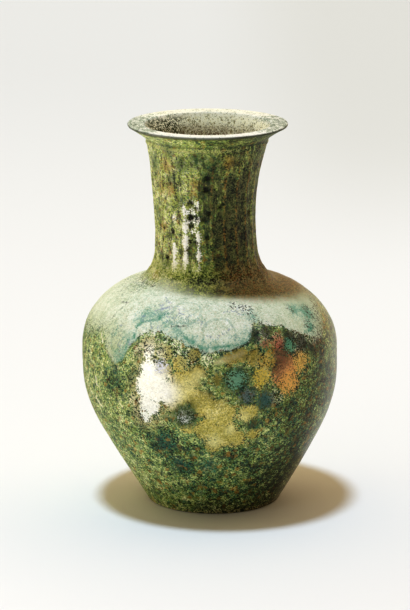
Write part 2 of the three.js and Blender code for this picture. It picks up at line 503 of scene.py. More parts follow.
# %% Where a spot lies on the surface
def on_surface(degrees, height):
    """The place at this angle from the front and this height, in millimetres."""
    angle = math.radians(degrees)
    radius = radius_at(height)
    return Vector((radius * math.sin(angle) + sideways(height), -radius * math.cos(angle), height))


# Angle from the front towards the right, height and radius of each spot
GOLD_SPOTS = [
    (-28, 83, 4), (-27, 76, 6), (-26, 68, 9.5), (-28, 59, 6.5), (-30, 53, 4), (-18, 66, 8), (-14, 60, 6),
    (-13, 72, 6), (-6, 74, 7), (9, 82, 4.5), (14, 83.5, 5), (20, 82, 5), (24, 74, 5.5), (22, 68, 3),
    (-4, 62, 8), (4, 57, 9), (-2, 48, 7), (6, 46, 8), (12, 43, 6), (1, 40, 5), (17, 56, 6), (20, 45, 4),
    (21, 59, 4), (-11, 49, 4.5), (28, 60, 2.5), (29, 84, 3), (-10, 66, 7), (-21, 75, 6), (-29, 87, 4.5),
    (3, 73, 4), (-20, 84, 5), (-13, 80, 5), (-7, 84, 4), (-96, 60, 6), (-104, 54, 5), (112, 68, 5),
    (-160, 62, 7), (172, 80, 5),
]
GREEN_ISLANDS = [
    (12, 72.4, 6.5), (16.5, 64.5, 4.6), (24.6, 61.5, 5), (-11.8, 55.2, 6), (19.2, 50.8, 2.8),
    (-1.7, 71, 3.2), (5, 66, 2.6), (9, 62, 1.8), (26, 66, 2.4),
]
# Bands on the bare metal: the olive ones are painted shade in its reflection, the straw ones partly its
# colour and partly a painted glow falling off from the highlight.
OLIVE_METAL_SHADE = [(2, 69, 5), (-2, 70.5, 3), (7, 71, 4), (1, 76, 3), (-8, 61, 2), (9, 66, 3)]
STRAW_METAL_AND_GLOW = [
    (-13, 66, 3), (-9, 70, 3.5), (-5, 74, 3), (0, 77.5, 2), (14, 54, 2), (9, 48.5, 2), (1, 42, 3),
]
# Where the light gleams on the bare metal: a painted highlight.
PAINTED_GLEAM_SPOTS = [(-28, 82, 3), (-27, 75, 5), (-26, 67, 8), (-28, 58, 5), (-31, 53, 2.5), (-21, 66, 4)]
MOTTLE_SPOTS = [
    (-27.6, 88, 5), (-18, 86, 6), (-10, 82, 5), (-33, 84, 3.5), (-1, 83, 3.5), (26, 90.5, 5), (34, 87.7, 4),
    (44, 85, 6), (53, 86, 5), (20, 96, 4), (62, 90, 6), (24, 80, 4), (-36, 60, 3), (-34, 56, 3), (30, 63, 4),
]
DARK_CLOUDS = [
    (-24, 39, 10), (-17, 28, 9), (-33, 46, 6), (-48, 66, 5), (40, 24, 16), (48, 42, 13), (22, 18, 14),
    (62, 62, 12), (14, 30, 9), (-10, 34, 7), (-2, 16, 10), (36, 54, 8), (44, 85, 7), (58, 80, 7),
    (100, 50, 18), (-150, 40, 16), (150, 70, 14), (-110, 60, 9), (180, 30, 12),
]
LIGHT_CLOUDS = [
    (-60, 77, 9), (-66, 56, 11), (-66, 18, 12), (-46, 54, 6), (-80, 40, 14), (-52, 86, 4), (-2, 28, 5),
    (120, 80, 12), (-120, 84, 10), (-165, 64, 10), (135, 30, 12),
]
TEAL_CLOUDS = [
    (-24, 40, 7), (-17, 28, 6), (-2, 28, 5), (24.6, 61.5, 4), (16.5, 64.5, 4), (12, 72, 3), (-46, 72, 4),
    (-35, 94, 2), (100, 70, 10), (-140, 70, 9), (170, 50, 10),
]
TEAL_SPOTS = [
    (-38, 96.5, 3.2), (-33, 97.5, 3.4), (-28, 98, 3.4), (-22, 95, 2.2), (-39.5, 88, 2.4), (-41, 82, 2.8),
    (-44, 77.5, 2.8), (-16, 92.5, 2.8), (-9, 89.4, 2.8), (-3, 87, 2.4), (3, 86.8, 2.4), (9, 87.4, 2.6),
    (15.5, 89, 2.6), (19, 92, 2), (55, 97, 4), (61.3, 95, 4.5), (57, 90, 3), (24, 98, 2),
]
LINE_SPOTS = [
    (-30, 98, 9), (-14, 98, 7), (-5, 97, 4), (12, 92, 4), (-42, 84, 7), (22, 100, 5), (-50, 90, 5),
]
SPECK_SPOTS = [
    (17, 102, 3.5), (22.5, 100.5, 4), (25, 97, 3.5), (64, 95, 5), (58, 90, 5), (70, 92, 6), (52, 98, 3),
]
# Bare ridges on the neck, whose white paint is also a painted highlight.
BARE_RIDGES_AND_GLINTS = [
    (-36, 117.5, 4), (-36, 123.5, 4), (-36, 139, 1.8), (-23.4, 143, 3), (-23.4, 135, 4), (-23.4, 128, 4.5),
    (-24, 120, 4), (-7.5, 145, 2.6), (-8, 139, 2), (-8, 130, 3.5), (-8.5, 122, 3.5), (-8.5, 116, 2),
]
RUNGS = [
    (-12, 146.5, 1), (-12.5, 142.3, 1.1), (-12, 137.8, 1.1), (-19.5, 142, 1), (-19.8, 137.8, 0.9),
    (-13, 133.6, 0.9),
]
NECK_GREENS = [
    (-39, 171, 4), (-37, 156.8, 3), (2.3, 159, 4), (-26.5, 165, 4), (-9, 167, 4.5), (-67, 163, 4.5),
    (6.5, 165, 4), (-28, 147, 2.5), (-52, 114, 5), (-22, 112, 4), (-66, 140, 3), (100, 150, 9),
    (-130, 140, 10), (180, 160, 9),
]
NECK_OCHRES = [
    (-40, 152.5, 3), (-52, 153, 3), (-44, 163.5, 3.5), (-54, 134, 2.5), (-12, 156, 2.5), (22, 138, 1.6),
    (22.5, 131, 1.8), (20, 124, 1.8), (21.8, 118, 1.6), (38, 143, 1.8), (37.5, 134, 1.8), (38, 125.5, 1.6),
    (24, 166, 4), (-60, 110, 3),
]
PITS = [
    (-39.9, 132.4, 1.4), (-57.6, 127.9, 1.2), (-15.7, 146.5, 1.5), (-9.5, 144.2, 1), (-16.3, 139.9, 1.7),
    (-9, 139.7, 1), (-15.6, 135.8, 1.4), (-17.2, 128.5, 1.3), (-0.6, 138.4, 1.1), (-19.4, 125.2, 1),
    (-11.2, 127.8, 1), (16, 144.8, 1.2), (2.7, 130.4, 1.2), (-49.1, 119.6, 1.2), (-53.9, 133.1, 0.9),
    (-40.1, 155.4, 0.9), (1, 153.2, 1.7), (2.3, 158.5, 1.6), (5, 142, 1.2), (20, 146, 1), (-47, 126, 0.9),
    (-70, 122, 1), (60, 140, 1.2), (110, 130, 1.3), (-120, 145, 1.2), (170, 126, 1.3),
]
NECK_STAINS = [
    (4, 152, 5), (2, 142, 4), (7, 132, 4), (-14, 139, 3.5), (22, 138, 6), (34, 132, 8), (38, 150, 7),
    (28, 116, 7), (-30, 122, 1.6), (-16, 123, 1.8), (-50, 117, 2.5), (-14, 132, 2), (-44, 127, 1.5),
]
CREAM_LINE = [(3, 80.6), (10, 83), (15, 84.2)]
# Dark lines; the last runs along the crust's lower edge and is a painted shadow under it.
DARK_LINES_AND_CRUST_SHADOW = [
    [(-60, 99.8), (-55.2, 100), (-57, 94.2), (-62, 88)], [(-18.9, 94.6), (-10.7, 95.4)],
    [(-9, 87), (0, 84.6), (11, 85.6), (19, 88.6), (21, 93)],
]
TEAL_LINES = [
    [(-44.6, 76), (-37.2, 82.8), (-37.4, 88), (-38.4, 92.9), (-35.5, 95.3), (-28, 96.6), (-23.4, 99.2)],
    [(-21.4, 96.5), (-10.6, 90.4), (-3.2, 86.6), (5.5, 87.2), (11.9, 87.4), (17.8, 88.6), (20.5, 91.5)],
    [(58, 97), (62, 93), (57, 89), (51, 88.5)],
]
VIOLET_LINES = [
    [(-31, 104), (-27, 102.8), (-24, 102.4)], [(-32, 99.8), (-26, 101), (-19, 101.8)],
    [(9, 100.1), (14, 100.6), (18.2, 99.1)], [(-1, 91.5), (3.4, 90.6), (9, 93.4), (12, 95)],
]
SCRATCHES = [[(-64.3, 55.1), (-59.5, 51.4)], [(-60, 86.5), (-57, 83)], [(-62, 66), (-61, 62)]]
print(len(GOLD_SPOTS + GREEN_ISLANDS + MOTTLE_SPOTS + TEAL_SPOTS), "spots in the large patches")

# %% The lower edge of the crust
# The crust lies on the shoulder. Its scalloped edge is given as heights at angles.
CRUST_EDGE = [
    (-180, 92), (-155, 96), (-130, 89), (-105, 90), (-90, 84), (-78, 82), (-66, 84), (-58, 85), (-53, 80.5),
    (-46.5, 75), (-42, 77), (-38, 85.3), (-35, 90), (-25, 92), (-16, 90.4), (-9, 87.1), (0, 84.8), (12, 86),
    (19.5, 89), (22.7, 95.2), (29, 95.8), (38, 92.8), (48, 89), (60, 84), (67, 86), (74, 92), (90, 98),
    (120, 103), (140, 97), (160, 90), (180, 92),
]
CURVE_LOW = 60
CURVE_HIGH = 120
CRUST_TOP = 111
# The dirt patch is a circle where the lip's shadow falls on the shoulder, so it is painted shadow as well as
# dirt.
DIRT_AND_SHADOW_MIDDLE = (8.5, 1.5, 0)
DIRT_AND_SHADOW_REACH = 37
DIRT_AND_SHADOW_BOTTOM = 97


class Skin:
    """What is known of a place on the vase: its height, its angle and the patches it is in."""

    def __init__(self, bench, place):
        self.bench = bench
        self.place = place
        parts = bench.node("ShaderNodeSeparateXYZ", None, {0: place})
        self.height = parts.output("Z")
        sideways_x = parts.output("X") - sideways_wire(bench, self.height)
        self.degrees = bench.math("ARCTAN2", sideways_x, -parts.output("Y")) * (180 / math.pi)
        self.frayed = self.fray(1.8, 4)

    def fray(self, amount, size):
        """The place, pushed about by noise, which frays the edges of what is measured from it."""
        push = self.bench.noise(self.place, size, 4, 0.65, seed=40).output("Color")
        moved = self.bench.vector("MULTIPLY_ADD", push, (2 * amount,) * 3, self.place)
        return self.bench.vector("SUBTRACT", moved, (amount,) * 3)

    def within(self, spots, place=None):
        """How far inside the nearest spot a place lies, in millimetres. Outside it is below 0."""
        deepest = None
        for degrees, height, radius in spots:
            centre = on_surface(degrees, height)
            inside = radius - self.bench.vector("DISTANCE", place or self.frayed, centre, out=1)
            deepest = inside if deepest is None else self.bench.math("MAXIMUM", deepest, inside)
        return deepest

    def from_line(self, corners, place):
        """How far a place lies from a line of straight stretches, in millimetres."""
        nearest = None
        corners = [on_surface(*corner) for corner in corners]
        for start, end in zip(corners, corners[1:]):
            along = (end - start) / (end - start).length_squared
            from_start = self.bench.vector("SUBTRACT", place, start)
            share = self.bench.vector("DOT_PRODUCT", from_start, along, out=1)
            share = self.bench.node("ShaderNodeClamp", None, {"Value": share})
            reached = self.bench.scale(end - start, share)
            away = self.bench.vector("DISTANCE", from_start, reached, out=1)
            nearest = away if nearest is None else self.bench.math("MINIMUM", nearest, away)
        return nearest

    def crust(self):
        """How far inside the crust a place lies."""
        share = self.degrees / 360 + 0.5
        points = [(a / 360 + 0.5, (h - CURVE_LOW) / (CURVE_HIGH - CURVE_LOW)) for a, h in CRUST_EDGE]
        curve = self.bench.node("ShaderNodeFloatCurve", {"points": points}, {"Value": share})
        edge = curve * (CURVE_HIGH - CURVE_LOW) + CURVE_LOW
        wobble = (self.bench.noise(self.place, 4, 4, 0.7, seed=11) - 0.5) * 7
        above_edge = (self.height - edge) * 1.2 + wobble
        below_neck = (CRUST_TOP - self.height) * 0.8 + wobble
        return self.bench.math("MINIMUM", above_edge, below_neck)

    def dirt_and_lip_shadow(self):
        """How far inside the dull dirt and painted lip shadow round the neck's root a place lies."""
        level = self.bench.vector("MULTIPLY", self.frayed, (1, 1, 0))
        from_middle = self.bench.vector("DISTANCE", level, DIRT_AND_SHADOW_MIDDLE, out=1)
        return self.bench.math("MINIMUM", DIRT_AND_SHADOW_REACH - from_middle, (self.height - DIRT_AND_SHADOW_BOTTOM) * 2)


# %% [markdown]
# ## Dents, crust and pits in the metal
# The second tree moves every point of the turned vase along its normal. Slow noise gives the
# unevenness of old thin metal, the crust is raised a little, and the pits are sunk. Finer
# grain than the points can carry is left to the material's bump.

# %% The tree that ages the vase
aged, given = new_tree("aged vase", {
    "Dent Depth": 0.6, "Dent Size": 24.0, "Crust Rise": 0.25, "Pit Depth": 0.7, "Grain Depth": 0.3,
})
skin = Skin(aged, aged.scale(aged.node("GeometryNodeInputPosition"), 1 / MM))
inside = aged.node("GeometryNodeInputNamedAttribute", {"data_type": "FLOAT"}, {"Name": "past_mouth"})
above_foot = aged.rise(skin.height, 1, 8)
below_lip = aged.fall(skin.height, VASE_HEIGHT - 3, VASE_HEIGHT - 1)
outside_only = aged.fall(inside, 4, 12)
dents = aged.noise(skin.place, given["Dent Size"], 2, 0.5, seed=3) - 0.5
crust = aged.rise(skin.crust(), -0.4, 0.4)
pits = aged.rise(skin.within(PITS, skin.place), -0.6, 0.8)
grain = aged.noise(skin.place, 2.2, 3, 0.6, seed=8) - 0.5
relief = (dents * given["Dent Depth"] + crust * given["Crust Rise"]
          + grain * given["Grain Depth"] - pits * given["Pit Depth"]) * above_foot * below_lip * outside_only
step = aged.scale(aged.node("GeometryNodeInputNormal"), relief * MM)
shape = aged.node("GeometryNodeSetPosition", None, {"Geometry": given["Geometry"], "Offset": step})
end_tree(aged, shape, given["Material"])
print("the tree that ages the vase has", len(aged.tree.nodes), "nodes")

# %% [markdown]
# ## The colours of old bronze
# Patina is a crowd of small flecks: green-black, olive, blue-green, straw and a little rust.
# Cloudy growth and small random cells together give every fleck a number, and a ramp turns
# the number into a colour. Broad clouds then push whole areas towards blue-green or towards
# ochre. The other finishes are laid over it one by one, each through the mask of its patch.
# What is only in front, where the photograph shows it, fades out towards the back.

# %% Colours, written as they look on a screen
def paint(red, green, blue):
    def linear(value):
        share = value / 255
        return share / 12.92 if share <= 0.04045 else ((share + 0.055) / 1.055) ** 2.4
    return (linear(red), linear(green), linear(blue), 1)


FLECKS = [
    (0.25, 12, 20, 14), (0.34, 42, 64, 44), (0.42, 82, 114, 70), (0.49, 126, 156, 92), (0.56, 172, 190, 118),
    (0.65, 214, 220, 154), (0.78, 244, 242, 208),
]
NECK_FLECKS = [
    (0.25, 18, 28, 20), (0.34, 64, 88, 50), (0.42, 118, 146, 76), (0.50, 178, 196, 102),
    (0.60, 218, 226, 140), (0.75, 246, 246, 204),
]
GOLD = [(0.3, 156, 146, 72), (0.5, 206, 194, 114), (0.7, 238, 230, 176)]
CRUST = [(0.32, 174, 186, 156), (0.42, 214, 222, 196), (0.54, 236, 238, 218), (0.66, 252, 251, 240)]
THROAT = [(0.28, 56, 52, 26), (0.38, 190, 182, 130), (0.46, 255, 250, 206), (0.56, 255, 254, 226)]
TEAL = paint(54, 142, 116)
PALE_TEAL = paint(158, 202, 180)
DEEP_TEAL = paint(24, 62, 66)
VIOLET = paint(128, 138, 170)
DEEP_GREEN = paint(30, 52, 40)
OCHRE = paint(184, 132, 52)
BROWN = paint(112, 78, 42)
BLACK_GREEN = paint(16, 20, 12)
CREAM = paint(246, 242, 220)
TAN = paint(206, 192, 148)
WHITE = paint(252, 251, 242)
print("colours mixed")

# %% The bronze material
material = bpy.data.materials.new("old bronze")
material.use_nodes = True
coat = Bench(material.node_tree)
shader = material.node_tree.nodes["Principled BSDF"]
skin = Skin(coat, coat.scale(coat.node("ShaderNodeTexCoord").output("Object"), 1 / MM))
inside = coat.node("ShaderNodeAttribute", {"attribute_name": "past_mouth"}).output("Fac")
place, degrees, height = skin.place, skin.degrees, skin.height
within, fray = skin.within, skin.fray
rise, fall, mix, noise = coat.rise, coat.fall, coat.mix, coat.noise


def ramp(value, stops):
    """A colour for each value. The stops' colours are written as they look on a screen."""
    stops = [(at, paint(*tint)) for at, *tint in stops]
    return coat.node("ShaderNodeValToRGB", {"stops": stops}, {0: value})


def layers(ground_colour, *coats):
    """Coats laid over a colour one after the other, each with its share and its tint."""
    for share, tint in coats:
        ground_colour = mix(share, ground_colour, tint)
    return ground_colour


def cells(size, seed):
    """Three random numbers for each cell of that size."""
    colour = coat.grains(fray(0.4, 0.8), size, seed).output("Color")
    parts = coat.node("ShaderNodeSeparateColor", None, {0: colour})
    return parts, parts.output("Green"), parts.output("Blue")


# %% Noise of every size, from grains to clouds
fine, fine_rust, fine_teal = cells(0.52, 5)
broad, broad_rust, broad_teal = cells(1.7, 9)
haze = noise(place, 0.6, 2, 0.7, seed=21)
growth = noise(fray(1.2, 2.5), 4.5, 7, 0.82, seed=24) * 2.4 - 0.7
cloud = noise(place, 11, 4, 0.6, seed=30)
drift = noise(place, 5, 4, 0.75, seed=61)
contrast = growth * 0.3 + fine * 0.38 + haze * 0.32

# %% Where the patina is darker, lighter or mottled, with painted light on the left of the neck and painted shade on the right and under the lip
dark = rise(within(DARK_CLOUDS), -4, 4)
light = rise(within(LIGHT_CLOUDS), -4, 4)
mottle = rise(within(MOTTLE_SPOTS), -1.5, 2)
on_neck = rise(height, 104, 112)
from_front = coat.math("ABSOLUTE", degrees)
seen = fall(from_front, 115, 165)
right = rise(degrees, 15, 60) * seen
neck_left_painted_light = on_neck * fall(degrees, -35, 5) * seen
tone = growth * 0.40 + fine * 0.30 + broad * 0.06 + haze * 0.10 + cloud * 0.2 - 0.03
# Painted light and shade in the tone: the left of the neck is lighter and the right side darker, as the
# light falls from the left.
tone = tone + light * 0.06 - dark * 0.10 + neck_left_painted_light * 0.14 - right * 0.05
# Painted shade: the tone is darker just under the overhang of the lip.
tone = tone - rise(height, 168, 174) * 0.03

# %% Flecks of patina
YELLOW_GREEN = paint(158, 170, 66)
BLUE_GREEN = paint(28, 54, 46)
blue_clouds = (noise(place, 7, 4, 0.7, seed=50) - 0.5) * 14
blue_green = rise(within(TEAL_CLOUDS) + blue_clouds, -2, 5)
ochre = rise(drift, 0.56, 0.72)
black_part = rise(contrast, 0.36, 0.44)
colour = layers(
    mix(on_neck, ramp(tone, FLECKS), ramp(tone, NECK_FLECKS)),
    (fall(drift, 0.36, 0.5) * 0.3, YELLOW_GREEN),
    (blue_green * 0.55, BLUE_GREEN),
    (ochre * 0.3, OCHRE),
    (rise(fine_teal + blue_green * 0.3, 0.84, 0.95) * 0.6, TEAL),
    (rise(fine_rust + right * 0.25 + ochre * 0.1, 0.84, 0.94) * 0.6, BROWN),
    (rise(broad_rust + ochre * 0.2, 0.90, 0.98) * 0.5, OCHRE),
    (rise(broad_teal + blue_green * 0.2, 0.84, 0.94) * 0.5, DEEP_TEAL),
    (mottle * (1 - black_part) * 0.75, BLACK_GREEN),
    (mottle * rise(contrast, 0.50, 0.60) * 0.65, CREAM))
print("patina laid on")

# %% Stains on the neck, streaked downwards, and painted shade on the neck's right side
LEAF_GREEN = paint(40, 82, 54)
STAIN = paint(24, 34, 26)
DULL_STRAW = paint(150, 150, 92)
NEAR_BLACK = paint(12, 14, 10)
streak = noise(coat.vector("MULTIPLY", place, (1, 1, 0.22)), 1.6, 4, 0.7, seed=15)
fluted = flute_strength(coat, height)
hollow = flute_hollow(coat, degrees) * fluted
# The right of the neck is painted darker, partly stains and partly painted shade on the side away from the
# light.
neck_right = rise(degrees, -12, 22) * seen * on_neck
green_patch = rise(within(NECK_GREENS) + (fine - 0.5) * 4, -2.5, 2.5)
ochre_patch = rise(within(NECK_OCHRES) + (fine - 0.5) * 4, -1.5, 2.5)
stain = rise(within(NECK_STAINS, fray(4, 7)), -5, 4) + neck_right * 0.6
stained = streak * 0.9 + fine * 0.24 + haze * 0.2 + stain * 0.15 + hollow * 0.05 - 0.06
ridge_line = fall(hollow, 0.1, 0.4) * neck_right * fluted
colour = layers(
    colour,
    (green_patch * 0.6, LEAF_GREEN),
    (ochre_patch * 0.55, OCHRE),
    (rise(stained, 0.67, 0.79) * on_neck * 0.85, STAIN),
    (neck_right * rise(contrast, 0.52, 0.68) * 0.45, DULL_STRAW),
    (neck_right * fall(contrast, 0.36, 0.46) * 0.7, NEAR_BLACK),
    (ridge_line * rise(streak * 0.6 + fine * 0.4, 0.50, 0.64) * 0.55, OCHRE))

# %% The thin ring under the lip, with a painted highlight on it and a line of painted shade above it
RING_HIGHLIGHT_STRAW = paint(206, 206, 140)
SHADE_LINE_ABOVE_RING = 1.6
from_ring = coat.math("ABSOLUTE", height - RING_HEIGHT)
from_shade_line = coat.math("ABSOLUTE", height - (RING_HEIGHT + SHADE_LINE_ABOVE_RING))
# Painted highlight on the ring, on the side towards the light.
ring_highlight = fall(from_ring, 0.3, 0.9) * rise(contrast, 0.3, 0.5)
ring_highlight = ring_highlight * fall(degrees, 10, 40) * seen
# Painted shade in a thin line above the ring.
shade_line_above_ring = fall(from_shade_line, 0.3, 0.9) * rise(contrast, 0.2, 0.5)
colour = layers(colour, (ring_highlight * 0.6, RING_HIGHLIGHT_STRAW), (shade_line_above_ring * 0.45, DEEP_GREEN))

# %% [markdown]
# ## Bare metal, rust and corrosion spots
# The belly's front was cleaned down to the golden metal. Where the light gleams on it, a
# painted highlight makes it nearly white. Small round growths and rust sit on it. Only bare
# metal is metallic, so the mask that paints it is kept and used again for the gloss.

# %% Bare golden metal, with a painted highlight, painted glow and painted reflection on it
STRAW = paint(200, 200, 148)
PALE_STRAW_AND_GLOW = paint(232, 226, 166)
OLIVE = paint(108, 114, 58)
SHADE_OLIVE = paint(104, 104, 54)
bareness = within(GOLD_SPOTS) + (noise(place, 2, 4, 0.75, seed=70) - 0.5) * 5
islands = within(GREEN_ISLANDS) + (fine - 0.5) * 2.5
bare = rise(bareness, 0.3, 1.6) * fall(islands, -0.8, 1)
bare = bare * (1 - mottle * (1 - black_part)) * rise(bareness + fine * 4, 2, 4)
into_painted_gleam = within(PAINTED_GLEAM_SPOTS)
gold = layers(
    ramp(noise(place, 0.8, 3, 0.7, seed=74) * 0.8 + cloud * 0.4 - 0.1, GOLD),
    (fall(bareness, 0, 4) * 0.2, OCHRE),
    (mottle * 0.6, STRAW),
    (fall(contrast, 0.38, 0.5) * 0.4, OLIVE),
    # Painted shade and painted glow in the metal's reflection.
    (rise(within(OLIVE_METAL_SHADE), -4, 3) * 0.8, SHADE_OLIVE),
    (rise(within(STRAW_METAL_AND_GLOW), -3, 2) * 0.6, PALE_STRAW_AND_GLOW),
    # Painted highlight: nearly white where the light gleams.
    (rise(into_painted_gleam, -8, 2) * 0.95, WHITE))
# A painted glow lightens the patina round the painted highlight.
painted_glow_round_gleam = rise(into_painted_gleam, -8, -1) * rise(contrast, 0.35, 0.6)
colour = layers(colour, (painted_glow_round_gleam * 0.6, TAN), (bare, gold))

# %% Bare ridges between the flutes, painted white as their highlight, a pale line and a few scratches
LINE_STRAW = paint(226, 218, 166)
ridge_bareness_and_glint = within(BARE_RIDGES_AND_GLINTS, place) - hollow * 4
rungs = within(RUNGS, fray(0.6, 1))
ragged = (noise(place, 0.9, 3, 0.8, seed=77) - 0.5) * 6 + (fine - 0.5) * 3
# Painted highlight: the bare ridges are painted white where the light glints on them.
bare_ridge_and_glint = rise(coat.math("MAXIMUM", ridge_bareness_and_glint, rungs) + ragged, -0.5, 0.4)
pale_line = fall(skin.from_line(CREAM_LINE, fray(1.4, 2.5)) + contrast * 3, 1.6, 3.6)
colour = layers(colour, (bare_ridge_and_glint, WHITE), (pale_line * 0.75, LINE_STRAW))
for corners in SCRATCHES:
    scratch = fall(skin.from_line(corners, fray(0.5, 1)) + fine * 0.4, 0.45, 0.8)
    colour = mix(scratch, colour, CREAM)

# %% Rust, each blot with its own colour
RUST_BLOTS = [
    (35, 74.5, 7.2, (228, 160, 106)), (37.5, 68.5, 5, (240, 190, 108)), (44, 77, 4.4, (234, 194, 110)),
    (33.5, 81, 4.8, (120, 80, 62)), (29.5, 77, 2.6, (90, 66, 46)), (33.5, 87.2, 3, (184, 108, 82)),
    (27, 87, 2.2, (150, 96, 62)), (23, 73, 3.4, (222, 200, 92)), (26, 80, 3, (206, 178, 88)),
    (22.5, 91, 2.4, (36, 30, 22)), (29, 92, 2, (48, 36, 26)), (40.5, 89, 2.8, (30, 34, 26)),
    (47, 85, 3, (30, 38, 30)), (52, 82, 2.4, (36, 44, 32)), (118, 52, 9, (120, 78, 46)),
    (124, 44, 6, (170, 106, 60)), (-128, 46, 8, (98, 70, 44)), (-150, 78, 6, (150, 96, 58)),
]
rust_flecks = rise(contrast, 0.36, 0.52) * 0.4 + 0.45
for *blot, tint in RUST_BLOTS:
    into_blot = within([blot]) + (fine - 0.5) * 5 + (haze - 0.5) * 6
    colour = mix(rise(into_blot, -1.2, 1.6) * rust_flecks, colour, paint(*tint))
rust = rise(within([blot[:3] for blot in RUST_BLOTS]), -0.5, 1.5)

# %% Round spots, each with a rim, a middle and the middle's radius
ROUND_SPOTS = [
    (-11.8, 55.2, 5.6, (48, 60, 36), (128, 140, 112), 3.2),
    (-12.2, 54, 2.0, (150, 160, 150), (216, 220, 218), 1.0),
    (11.9, 72.4, 5.8, (48, 64, 40), (136, 194, 166), 3.6),
    (16.4, 64.6, 4.0, (34, 44, 38), (120, 140, 142), 2.2),
    (24.6, 61.5, 4.2, (44, 66, 58), (72, 116, 112), 2.8),
    (19.2, 50.8, 2.6, (32, 36, 24), (48, 60, 46), 1.2),
    (39.2, 85.1, 3.4, (24, 32, 22), (110, 176, 140), 2.0),
    (-21.8, 77.5, 2.8, (128, 130, 140), (226, 228, 240), 1.6),
]
for *spot, rim, middle, middle_radius in ROUND_SPOTS:
    into_spot = within([spot]) + (fine - 0.5) * 5 + (haze - 0.5) * 5
    edge = spot[2] - middle_radius
    colour = layers(colour, (rise(into_spot, -0.3, 0.7) * 0.65, paint(*rim)),
                    (rise(into_spot, edge - 0.4, edge + 0.6) * 0.7, paint(*middle)))
colour = coat.scale(colour, 0.72 + contrast * 0.6)
print(len(RUST_BLOTS), "blots of rust and", len(ROUND_SPOTS), "round spots")

# %% [markdown]
# ## The pale crust
# Lime from the ground water grew over the shoulder and was tinged by the copper below it. Its
# edge is crisp in front and worn away at the sides. Teal veins follow the old edges of its
# growth, so they are drawn as wavy lines and rings.

# %% Where the crust lies
left_fade = fall(degrees, -64, -44)
right_fade = rise(degrees, 52, 68)
worn = left_fade + right_fade
crust_depth = skin.crust() + (fine - 0.5) * (1.8 + worn * 6) + (haze - 0.5) * (2.5 + worn * 8)
crust = rise(crust_depth, -0.3, 0.5 + worn * 5)

# %% The crust's colours
CRUST_LEFT = paint(196, 206, 160)
CRUST_TIP = paint(184, 196, 136)
TIP_VEINS = paint(92, 120, 84)
CRUST_RIGHT = paint(160, 184, 132)
CRUST_FAR_RIGHT = paint(136, 158, 124)
left_tip = fall(degrees, -48, -36) * fall(height, 86, 97) * seen
teal_zone = within(TEAL_SPOTS) + (haze - 0.5) * 7 + (fine - 0.5) * 4 - 0.6
contour = coat.math("ABSOLUTE", noise(place, 6, 4, 0.7, seed=95) - 0.5)
contour_line = fall(contour, 0.008, 0.03) * rise(within(LINE_SPOTS), -1, 3)
pale = layers(
    ramp(noise(place, 5, 6, 0.75, seed=90) * 0.7 + haze * 0.5 + fine * 0.2 - 0.2, CRUST),
    (rise(fine_rust, 0.6, 0.95) * 0.35, TAN),
    (rise(fine_teal, 0.6, 0.95) * 0.15, PALE_TEAL),
    (left_fade * seen * 0.25, CRUST_LEFT),
    (left_tip * rise(contrast, 0.34, 0.6) * 0.6, CRUST_TIP),
    (left_tip * fall(contrast, 0.38, 0.48) * 0.6, TIP_VEINS),
    (rise(degrees, 18, 50) * seen * 0.25, CRUST_RIGHT),
    (right_fade * seen * 0.5, CRUST_FAR_RIGHT),
    (rise(teal_zone, -3, 1) * 0.25, PALE_TEAL),
    (rise(teal_zone + (contrast - 0.5) * 8, 0, 2) * 0.6, TEAL),
    (contour_line * 0.6, mix(rise(cloud, 0.45, 0.55), VIOLET, TEAL)))

# %% Rings, specks and veins in the crust
RINGS = [(-12.3, 100.1, 6.6), (-45.5, 85.4, 5.2), (5, 92.5, 7.5)]
for ring_spot in RINGS:
    from_ring = coat.math("ABSOLUTE", within([ring_spot], fray(1.6, 4)))
    pale = mix(fall(from_ring, 0.2, 0.9) * rise(contrast, 0.42, 0.6) * 0.4, pale, TEAL)
specks = rise(within(SPECK_SPOTS), -1, 2) * fall(contrast, 0.38, 0.46)
pale = mix(specks * 0.9, pale, BLACK_GREEN)
wavy = fray(1.7, 2)
for corners in TEAL_LINES:
    teal_line = fall(skin.from_line(corners, wavy) + contrast * 3, 1.5, 2.5)
    pale = mix(teal_line * 0.8, pale, TEAL)
for corners in VIOLET_LINES:
    violet_line = fall(skin.from_line(corners, wavy) + fine * 0.8 + haze * 0.8, 0.8, 1.6)
    pale = mix(violet_line * 0.6, pale, VIOLET)
colour = mix(crust, colour, pale)
# Dark lines, the one along the crust's edge a painted shadow under it.
for corners in DARK_LINES_AND_CRUST_SHADOW:
    dark_line_and_shadow = fall(skin.from_line(corners, fray(0.7, 2)) + contrast * 1.5, 0.9, 1.7)
    colour = mix(dark_line_and_shadow * 0.75, colour, DEEP_GREEN)
print("crust laid on")

# %% [markdown]
# ## Foot, dirt, lip and throat
# The foot is painted darkest in front and low on the right, a painted shade, and its lower
# edge has painted glints. Earth still sticks where the neck rises from the shoulder, and
# there a painted shadow of the lip darkens it too. The flat lip and the throat have the pale
# crust too, speckled with dark, and the attribute past_mouth tells the inside from the outside.

# %% The foot, with painted shade low in front and on the right, and painted glints along its lower edge
# Painted shade: darker low in front and on the lower right.
front_shade = fall(height, 1, 15) * rise(degrees, -50, 10) * seen
right_shade = fall(height, 14, 46) * rise(degrees, 10, 48) * seen
foot_shade = coat.math("MAXIMUM", front_shade, right_shade)
# Painted glints: pale flecks where the light catches the foot's lower edge.
foot_edge_glint = fall(height, 1.4, 2.6) * rise(fine, 0.5, 0.8)
colour = layers(
    colour,
    (foot_shade * fall(contrast, 0.5, 0.8) * 0.85, BLACK_GREEN),
    (foot_edge_glint * 0.6, TAN))

# %% Dull dirt round the root of the neck, darkened as a painted shadow of the lip
EARTH = paint(54, 54, 32)
DRY_EARTH = paint(162, 150, 98)
RED_EARTH = paint(164, 96, 54)
GREEN_EARTH = paint(56, 78, 44)
